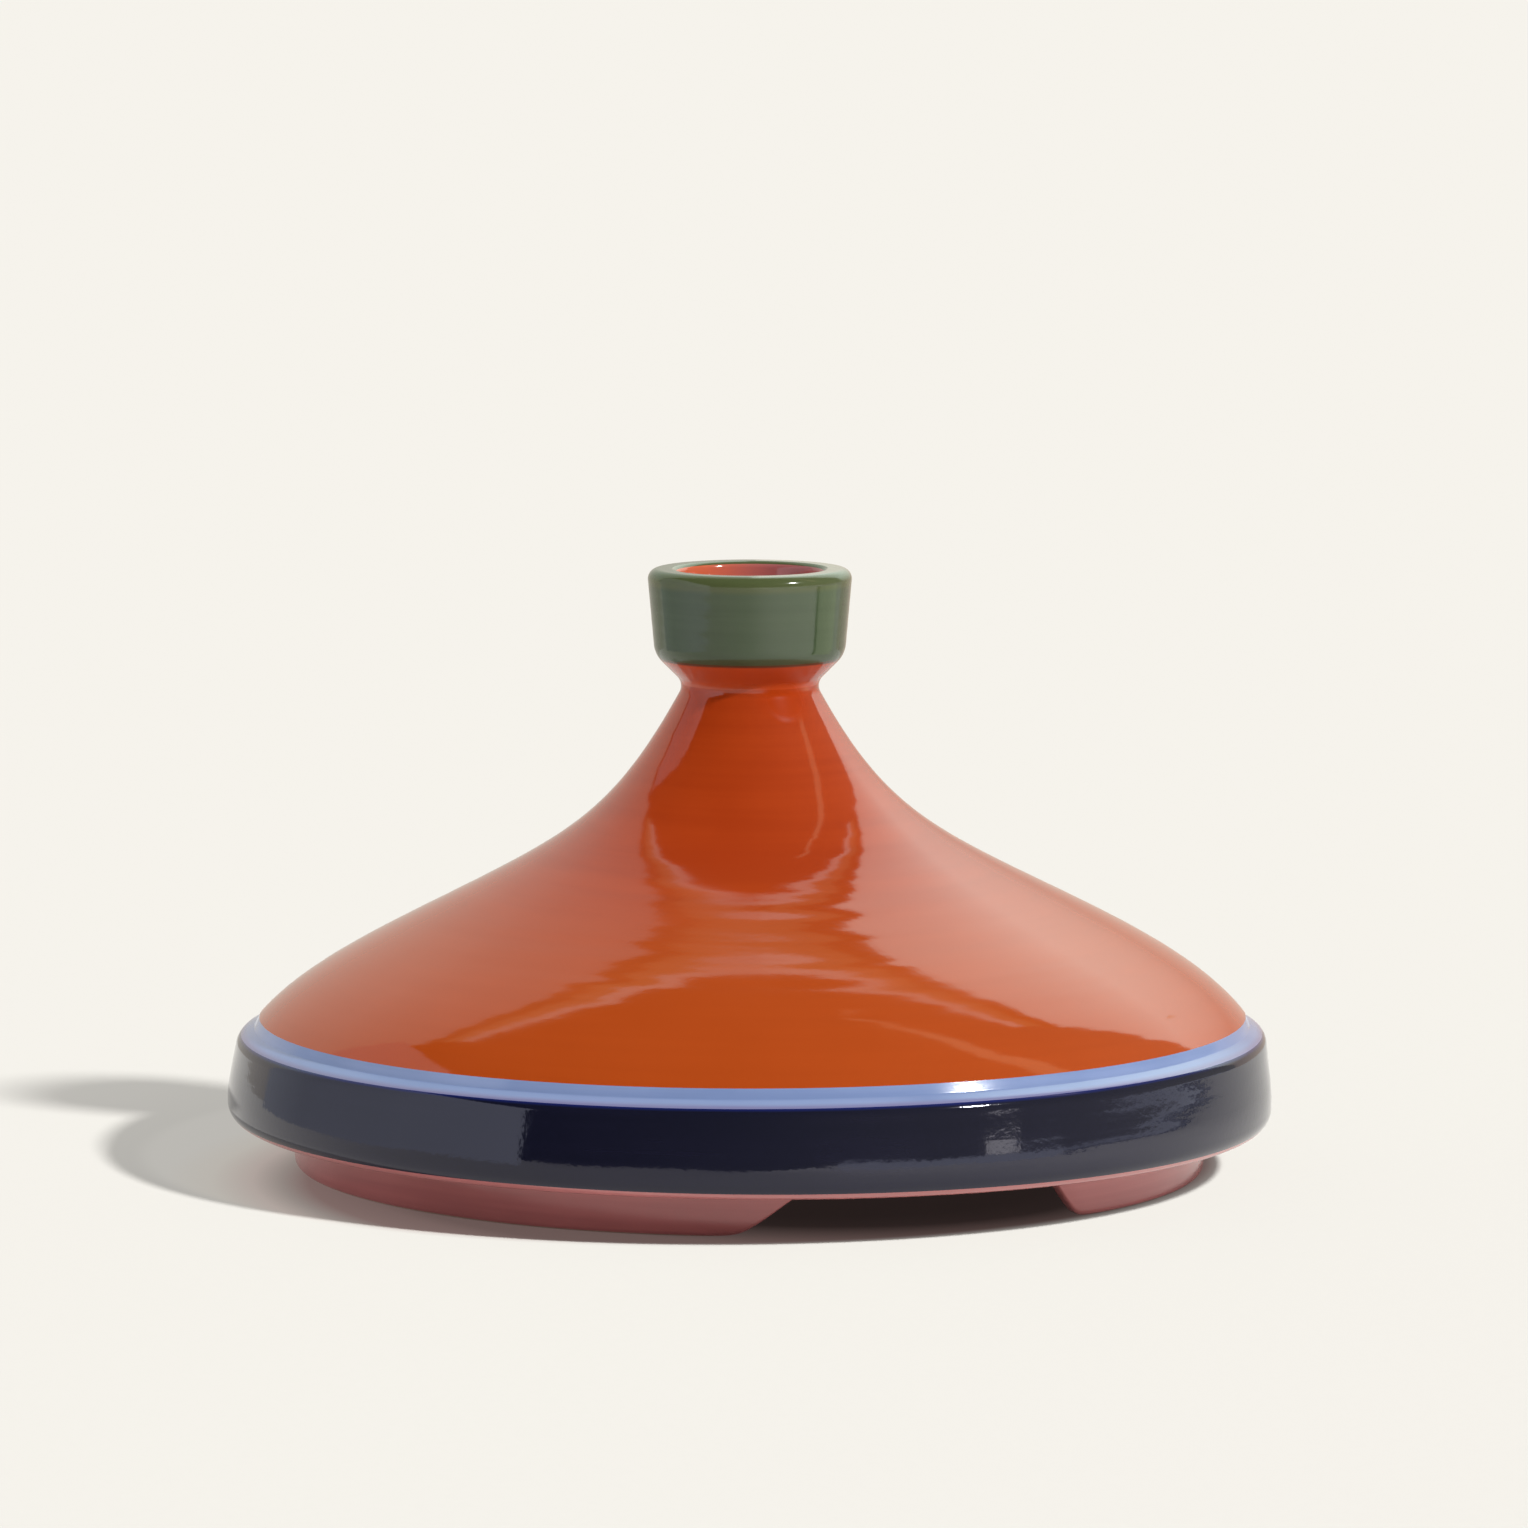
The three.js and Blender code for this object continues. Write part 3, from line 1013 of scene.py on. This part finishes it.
def board_material(name, bands, along, nearest):
    material = bpy.data.materials.new(name)
    material.use_nodes = True
    tree = material.node_tree
    tree.nodes.clear()
    shown = node(tree, "Emission", {"Color": ramp(tree, far_along(tree, along), bands)})
    if nearest:
        length = node(tree, "LightPath", output="Ray Length")
        far = node(tree, "Math", {0: length, 1: nearest}, operation="GREATER_THAN")
        shown = node(tree, "MixShader", {0: far, 1: node(tree, "BsdfTransparent"), 2: shown})
    output = tree.nodes.new("ShaderNodeOutputMaterial")
    feed(tree, output.inputs["Surface"], shown)
    return material


def board(name, corners, bands, along=UP, nearest=0):
    """A board that shows only in glaze that is not nearer than that, with glows that change along it."""
    mesh = bpy.data.meshes.new(name)
    places = [place(*corner) for corner in corners]
    mesh.from_pydata(places, [], [tuple(range(len(places)))])
    mesh.materials.append(board_material(name, bands, along, nearest))
    thing = bpy.data.objects.new(name, mesh)
    bpy.context.scene.collection.objects.link(thing)
    for kind in ("camera", "diffuse", "transmission", "volume_scatter", "shadow"):
        setattr(thing, "visible_" + kind, False)


def upright(start, end, low, high):
    """The corners of a board that stands on a line across the floor."""
    return [(*start, low), (*start, high), (*end, high), (*end, low)]


def even(tint, level):
    """The bands of a board that has one glow."""
    return [(0, tint, level), (1, tint, level)]


def backdrop(name, start, end, foot, low, high, strip):
    """A panel that fades towards the floor, with a dark line, a frame and a bright strip above it."""
    board(name, upright((start, BACK), (end, BACK), 0, BACK_TOP), [
        (0, foot, low), (BACK_FOOT_TOP, foot, low),
        (PANEL_FULL, PANEL, high), (PANEL_TOP, PANEL, high),
        (LINE_LOW, FRAME, LINE_GLOW), (LINE_HIGH, FRAME, LINE_GLOW),
        (FRAME_LOW, FRAME, FRAME_GLOW), (FRAME_HIGH, FRAME, FRAME_GLOW),
        (STRIP_LOW, PANEL, strip), (BACK_TOP, PANEL, strip),
    ])


def left_board():
    corners = [
        (LEFT, LEFT_BACK, 0), (LEFT, LEFT_BACK, LEFT_TOP), (LEFT, LEFT_BEND, LEFT_TOP),
        (LEFT, LEFT_FRONT, LEFT_FRONT_TOP), (LEFT, LEFT_FRONT, 0),
    ]
    board("left", corners, LEFT_GLOWS, TO_CAMERA)


def pole_and_boom():
    foot = [(RIGHT, POLE_FOOT, POLE_LOW), (RIGHT, POLE_FOOT + POLE_WIDTH, POLE_LOW)]
    top = [(RIGHT, POLE_TOP, POLE_HIGH), (RIGHT, POLE_TOP + POLE_WIDTH, POLE_HIGH)]
    end = [(BOOM_END, BACK, BOOM_HIGH), (BOOM_END + POLE_WIDTH, BACK, BOOM_HIGH)]
    board("pole", [foot[0], *top, foot[1]], even(WARM, POLE_GLOW))
    board("boom", [top[0], *end, top[1]], even(WARM, POLE_GLOW))


def ledges():
    back, middle, front = (LEDGE, LEDGE_END), (LEDGE, LEDGE_BACK), (LEDGE, LEDGE_FRONT)
    board("right_ledge", upright(middle, front, 0, LEDGE_TOP), [
        (0, COOL, LEDGE_DIM), (LEDGE_DIM_TOP, COOL, LEDGE_DIM),
        (LEDGE_LIT, COOL, LEDGE_GLOW), (LEDGE_TOP, COOL, LEDGE_GLOW),
    ])
    board("back_ledge", upright(back, middle, 0, LEDGE_TOP), even(COOL, LEDGE_DIM))
    before = upright(front, FRONT_LEDGE_END, 0, FRONT_LEDGE_TOP)
    board("front_ledge", before, even(COOL, FRONT_LEDGE_GLOW))
    crate = upright(CRATE_START, CRATE_END, CRATE_LOW, CRATE_HIGH)
    board("crate", crate, even(NEUTRAL, CRATE_GLOW))


def post_and_panel():
    post = upright((POST, POST_FRONT), (POST, POST_BACK), POST_LOW, POST_HIGH)
    board("post", post, even(NEUTRAL, POST_GLOW), nearest=POST_NEAREST)
    panel = upright((POST, POST_BACK), (POST, SIDE_PANEL_BACK), POST_LOW, POST_HIGH)
    board("side_panel", panel, even(PALE, SIDE_PANEL_GLOW), nearest=POST_NEAREST)


def boards():
    backdrop("back_left", BACK_LEFT, 0, foot=BEIGE, low=0.65, high=0.78, strip=1.35)
    backdrop("back_right", 0, BACK_RIGHT, foot=SALMON, low=0.75, high=2.2, strip=1.6)
    left_board()
    pole_and_boom()
    ledges()
    post_and_panel()


def sheen(tree, glossy):
    """What the floor's glow gains in the glaze, to the right and in front."""
    right = map_range(tree, far_along(tree, TO_RIGHT), SHEEN_LEFT, SHEEN_RIGHT, 0, SHEEN)
    front = map_range(tree, far_along(tree, TO_CAMERA), SHEEN_BACK, SHEEN_FRONT)
    return product(tree, product(tree, right, front), glossy)


def flood(tree, glossy):
    """The floor's glow in the open, which makes one even tone with the lamp's light."""
    lamp = far_from(tree, LAMP_DISTANCE * heading(LAMP_AZIMUTH, LAMP_ELEVATION))
    nearer = node(tree, "Math", {0: LAMP_DISTANCE, 1: lamp}, operation="DIVIDE")
    nearer = node(tree, "Math", {0: nearer, 1: LAMP_FALL}, operation="POWER")
    lacking = {0: nearer, 1: -LAMP_SHARE, 2: FLOOD + LAMP_SHARE}
    level = node(tree, "Math", lacking, operation="MULTIPLY_ADD")
    level = node(tree, "Math", {0: level, 1: sheen(tree, glossy)}, operation="ADD")
    return node(tree, "VectorMath", {0: CREAM, "Scale": level}, operation="SCALE")


def in_the_open(tree, glossy):
    """How far a place is out of the shade below the lid."""
    off = far_from(tree, place(SHADE_ASIDE, SHADE_TOWARDS, 0))
    blur = map_range(tree, far_along(tree, TO_RIGHT), 0, SHADE_BLUR_REACH, 0, SHADE_BLUR)
    blur = product(tree, glossy, blur)
    edge = node(tree, "Math", {0: blur, 1: SHADE_RADIUS + SHADE_SOFT}, operation="ADD")
    return map_range(tree, off, SHADE_RADIUS - SHADE_SOFT, edge)


def floor_material():
    """Pale paper, flooded with light that the lid keeps from what lies below it."""
    material, tree, shader = new_material("floor")
    dark = tinted(CREAM, PAPER_DARK * FLOOR_TONE)
    light = tinted(CREAM, PAPER_LIGHT * FLOOR_TONE)
    gloom = ramp(tree, far_from(tree, place(GLOOM_ASIDE, GLOOM_TOWARDS, 0)), GLOOM)
    glossy = node(tree, "LightPath", output="Is Glossy Ray")
    given = mix(tree, in_the_open(tree, glossy), gloom, flood(tree, glossy))
    feed(tree, shader.inputs["Base Color"], mix(tree, noise(tree, PAPER_SCALE), dark, light))
    feed(tree, shader.inputs["Roughness"], 1.0)
    feed(tree, shader.inputs["Specular IOR Level"], 0.0)
    feed(tree, shader.inputs["Emission Color"], given)
    feed(tree, shader.inputs["Emission Strength"], 1.0)
    return material


def ground():
    mesh = bpy.data.meshes.new("floor")
    corners = [(-1, -1), (1, -1), (1, 1), (-1, 1)]
    mesh.from_pydata([(FLOOR_HALF * x, FLOOR_HALF * y, 0) for x, y in corners], [], [(0, 1, 2, 3)])
    mesh.materials.append(floor_material())
    thing = bpy.data.objects.new("floor", mesh)
    bpy.context.scene.collection.objects.link(thing)
    floors = bpy.data.collections.new("floors")
    floors.objects.link(thing)
    return floors


camera()
surroundings()
boards()
key_light(body)
floor_lamp(ground())
bpy.context.scene.view_settings.view_transform = "Standard"

cone_shell()
shoulder_ring()
rim_band()
seat_ring()
skirt()
knob_collar()
knob_cup()
